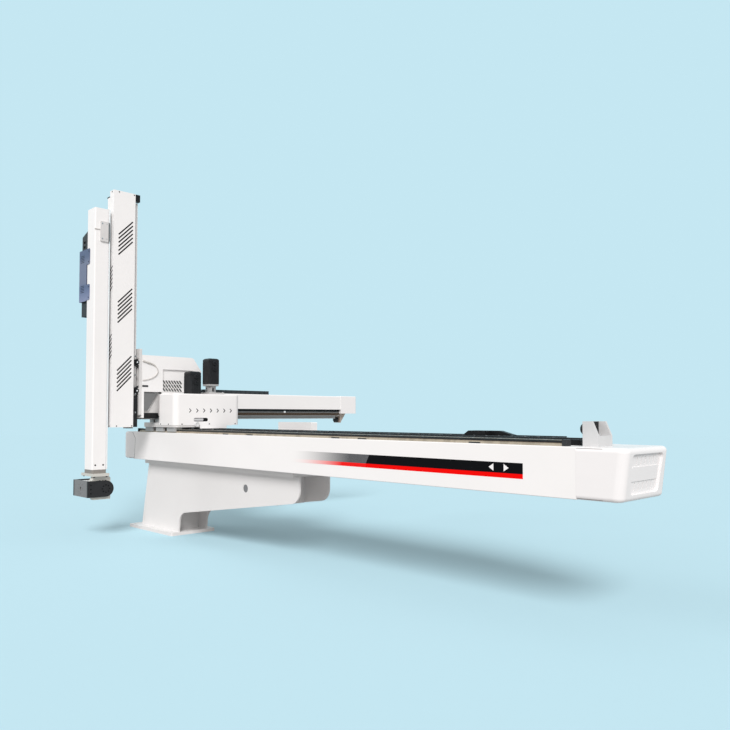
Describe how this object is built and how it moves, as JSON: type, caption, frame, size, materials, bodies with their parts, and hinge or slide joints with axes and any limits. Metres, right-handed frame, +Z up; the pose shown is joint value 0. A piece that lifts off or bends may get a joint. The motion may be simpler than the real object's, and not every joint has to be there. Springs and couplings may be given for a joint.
{
  "type": "injection moulding manipulator",
  "caption": "Take-out robot: a cross beam on a pedestal, a carriage with a kick beam, and a two-stage lifting arm with a flip wrist.",
  "frame": {"origin": "middle of the underside of the pedestal's flange", "axes": "+X along the cross beam, +Y to the back, +Z up"},
  "size_m": [4.4123, 2.706, 2.645],
  "materials": {
    "white_paint": "smooth white powder coat",
    "white_moulding": "white moulded plastic with a soft sheen",
    "bare_aluminium": "machined, clear anodised",
    "bronze_rail": "ground guide rail with a warm tone",
    "guide_steel": "ground steel",
    "black_steel": "black oxide",
    "motor_black": "satin black motor paint",
    "grey_casting": "bead blasted grey",
    "dark_anodised": "dark grey anodised",
    "tool_grey": "grey anodised",
    "rubber_black": "matt rubber",
    "chain_black": "moulded nylon",
    "box_blue": "blue grey paint",
    "wire_grey": "grey cable sheath"
  },
  "bodies": {
    "root": {"pedestal": "white_paint", "cross_beam": "white_paint", "end_cap_left": "white_moulding", "end_cap_right": "white_moulding", "traverse_rails": "bronze_rail", "traverse_rack": "black_steel", "cable_tray": "black_steel", "traverse_cable_chain": "chain_black", "terminal_box": "white_paint", "traverse_stop_brackets": "grey_casting", "traverse_end_stops": "rubber_black"},
    "carriage": {"carriage_plate": "bare_aluminium", "traverse_guide_blocks": "guide_steel", "carriage_cover": "white_paint", "chain_bracket": "white_paint", "kick_guide_blocks": "guide_steel", "kick_stop_block": "bare_aluminium", "servo_motors": "motor_black", "kick_motor_base": "bare_aluminium", "kick_motor_neck": "black_steel", "drive_housings": "grey_casting"},
    "traverse_gear": {"traverse_pinion": "guide_steel"},
    "kick_gear": {"kick_pinion": "guide_steel"},
    "kick": {"kick_beam": "bare_aluminium", "kick_side_cover": "white_paint", "kick_rails": "bronze_rail", "kick_rack": "bronze_rail", "kick_end_cap": "white_moulding", "kick_stop_bracket": "bare_aluminium", "kick_bumper": "rubber_black", "kick_cable_chain": "chain_black", "front_bracket": "white_paint", "lift_plate": "bare_aluminium", "lift_guide_blocks": "guide_steel", "lift_motor_cover": "white_paint", "lift_gearmotor": "motor_black", "lift_belt_loop": "rubber_black", "motor_wire": "wire_grey"},
    "drive_pulley": {"lift_drive_pulley": "guide_steel"},
    "upper_idler": {"lift_idler_upper": "guide_steel"},
    "lower_idler": {"lift_idler_lower": "guide_steel"},
    "mast": {"mast_profile": "white_paint", "mast_cover": "white_paint", "mast_rails": "bronze_rail", "mast_belts": "rubber_black", "belt_guard": "black_steel", "mast_stops": "black_steel", "arm_guide_blocks": "guide_steel"},
    "upper_transfer": {"transfer_pulley_upper": "guide_steel"},
    "lower_transfer": {"transfer_pulley_lower": "guide_steel"},
    "arm": {"arm_tube": "white_paint", "arm_rails": "bronze_rail", "belt_clamp_plate": "bare_aluminium", "cable_channel": "motor_black", "valve_box": "box_blue", "arm_adapter": "grey_casting", "wrist_hanger": "bare_aluminium", "flip_actuator": "bare_aluminium"},
    "flip_unit": {"flip_cheeks": "dark_anodised", "tool_plate": "tool_grey"}
  },
  "joints": [
    {"name": "traverse", "type": "slide", "parent": "root", "child": "carriage", "axis": [1, 0, 0], "range_m": [0, 3.28]},
    {"name": "kick", "type": "slide", "parent": "carriage", "child": "kick", "axis": [0, -1, 0], "range_m": [0, 1.45]},
    {"name": "lift", "type": "slide", "parent": "kick", "child": "mast", "axis": [0, 0, -1], "range_m": [0, 1.19]},
    {"name": "arm_slide", "type": "slide", "parent": "mast", "child": "arm", "axis": [0, 0, -1], "range_m": [0, 1.19]},
    {"name": "flip", "type": "hinge", "parent": "arm", "child": "flip_unit", "pos_m": [0, -0.621, 0.38], "axis": [1, 0, 0], "range_deg": [0, 90]},
    {"name": "traverse_gear_turn", "type": "hinge", "parent": "carriage", "child": "traverse_gear", "pos_m": [0.3, 0.006, 0.805], "axis": [0, 0, 1], "range_deg": [-3760.6, 2]},
    {"name": "kick_gear_turn", "type": "hinge", "parent": "carriage", "child": "kick_gear", "pos_m": [0.196, 0.239, 0.938], "axis": [0, 0, 1], "range_deg": [-2, 1663.6]},
    {"name": "drive_pulley_turn", "type": "hinge", "parent": "kick", "child": "drive_pulley", "pos_m": [0.118, -0.302, 1.2265], "axis": [1, 0, 0], "range_deg": [-1693.9, 2]},
    {"name": "upper_idler_turn", "type": "hinge", "parent": "kick", "child": "upper_idler", "pos_m": [0.118, -0.3827, 1.337], "axis": [1, 0, 0], "range_deg": [-2, 2696.9]},
    {"name": "lower_idler_turn", "type": "hinge", "parent": "kick", "child": "lower_idler", "pos_m": [0.118, -0.3827, 1.116], "axis": [1, 0, 0], "range_deg": [-2, 2696.9]},
    {"name": "upper_transfer_turn", "type": "hinge", "parent": "mast", "child": "upper_transfer", "pos_m": [0.088, -0.495, 2.555], "axis": [1, 0, 0], "range_deg": [-2, 1096.4]},
    {"name": "lower_transfer_turn", "type": "hinge", "parent": "mast", "child": "lower_transfer", "pos_m": [0.088, -0.495, 0.925], "axis": [1, 0, 0], "range_deg": [-2, 1096.4]}
  ],
  "couplings": [
    {"joint": "traverse_gear_turn", "follows": "traverse", "rad_per_m": -20},
    {"joint": "kick_gear_turn", "follows": "kick", "rad_per_m": 20},
    {"joint": "drive_pulley_turn", "follows": "lift", "rad_per_m": -24.814},
    {"joint": "upper_idler_turn", "follows": "lift", "rad_per_m": 39.526},
    {"joint": "lower_idler_turn", "follows": "lift", "rad_per_m": 39.526},
    {"joint": "upper_transfer_turn", "follows": "lift", "rad_per_m": 16.051},
    {"joint": "lower_transfer_turn", "follows": "lift", "rad_per_m": 16.051},
    {"joint": "arm_slide", "follows": "lift", "ratio": 1}
  ]
}
